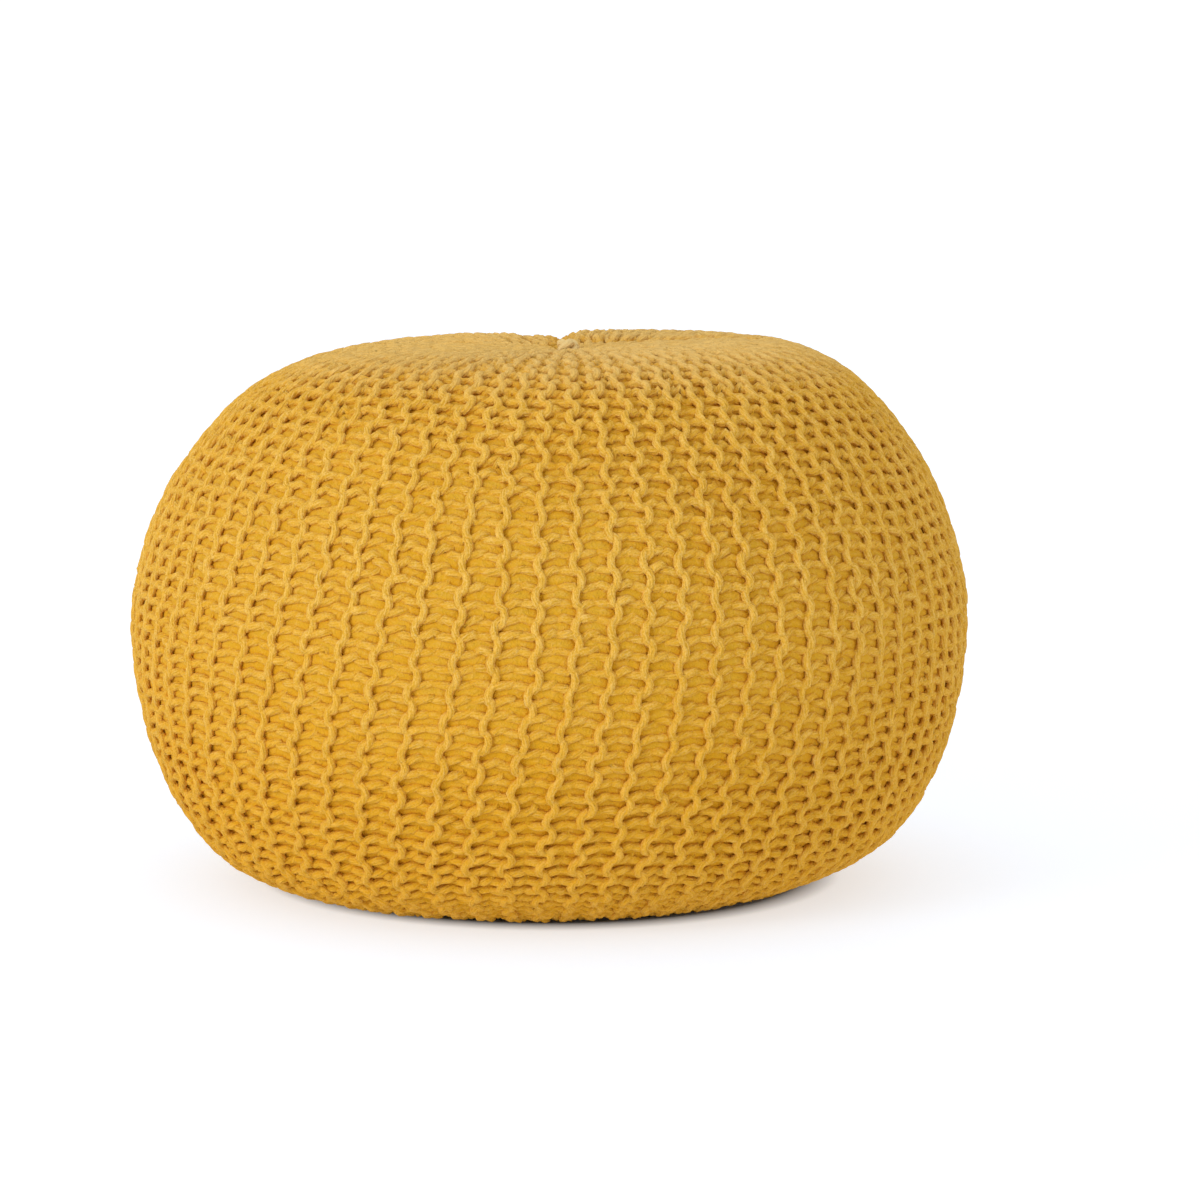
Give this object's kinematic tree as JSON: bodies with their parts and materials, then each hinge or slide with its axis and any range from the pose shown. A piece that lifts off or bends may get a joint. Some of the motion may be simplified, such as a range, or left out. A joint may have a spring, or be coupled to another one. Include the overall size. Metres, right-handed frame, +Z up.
{
  "type": "knitted pouf",
  "caption": "Round chunky-knit floor pouf: a garter-stitch cord cover gathered top and bottom over a filled cloth bag, with a flat underside to rest on.",
  "frame": {"origin": "middle of the pouf's underside, on the surface it rests on", "axes": "+Z up through the two gathers, -Y towards the viewer of the picture, +X to the viewer's right"},
  "size_m": [0.502, 0.5008, 0.3236],
  "materials": {
    "cotton_cord": "matt mustard cotton cord, softly twisted, knitted in chunky garter stitch",
    "plain_cloth": "matt plain-weave cotton cloth, a little brighter yellow than the cord"
  },
  "bodies": {
    "root": {"knitted_cover": "cotton_cord", "lining_bag": "plain_cloth"}
  },
  "joints": []
}
